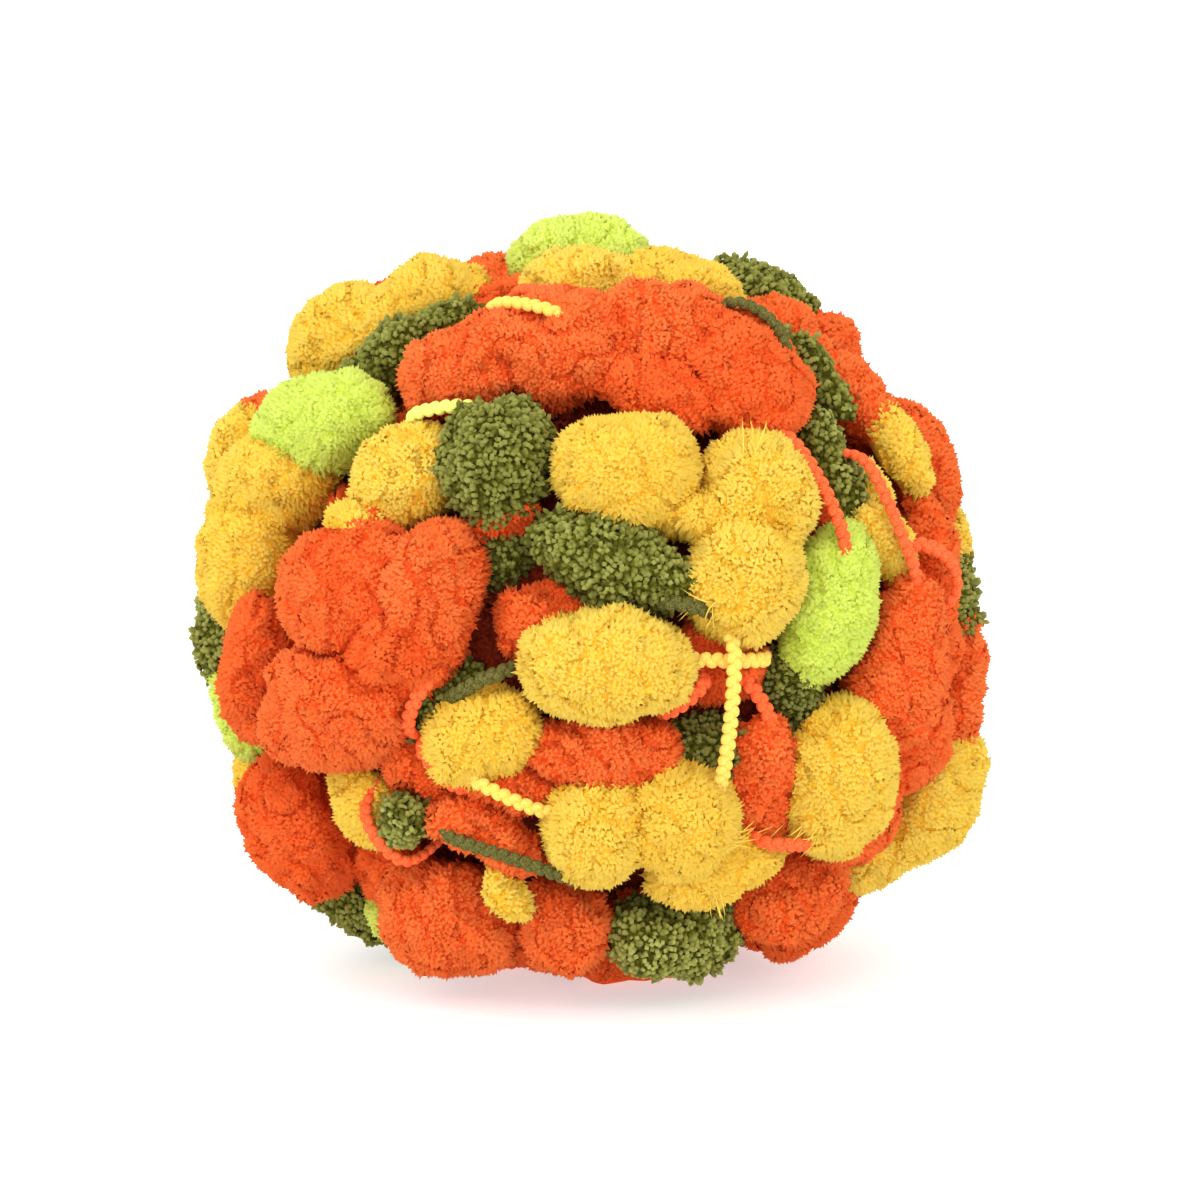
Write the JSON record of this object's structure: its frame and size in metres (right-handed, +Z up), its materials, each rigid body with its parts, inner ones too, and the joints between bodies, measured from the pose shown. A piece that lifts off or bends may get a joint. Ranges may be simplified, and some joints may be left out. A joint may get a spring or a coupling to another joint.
{
  "type": "pom pom yarn ball",
  "caption": "Wound ball of pom pom yarn: plush pompoms on a thin stitched cord, wound into a round ball that rests on a small flat spot.",
  "frame": {"origin": "centre of the bounding box at the resting flat under the ball", "axes": "+Z up, +X to the right as seen from the front, the front is toward -Y"},
  "size_m": [0.176, 0.1806, 0.1657],
  "materials": {
    "orange_plush": "matt short pile",
    "yellow_plush": "matt short pile",
    "green_plush": "matt short pile",
    "lime_plush": "matt short pile"
  },
  "bodies": {
    "root": {"yarn_ball": "orange_plush"}
  },
  "joints": []
}
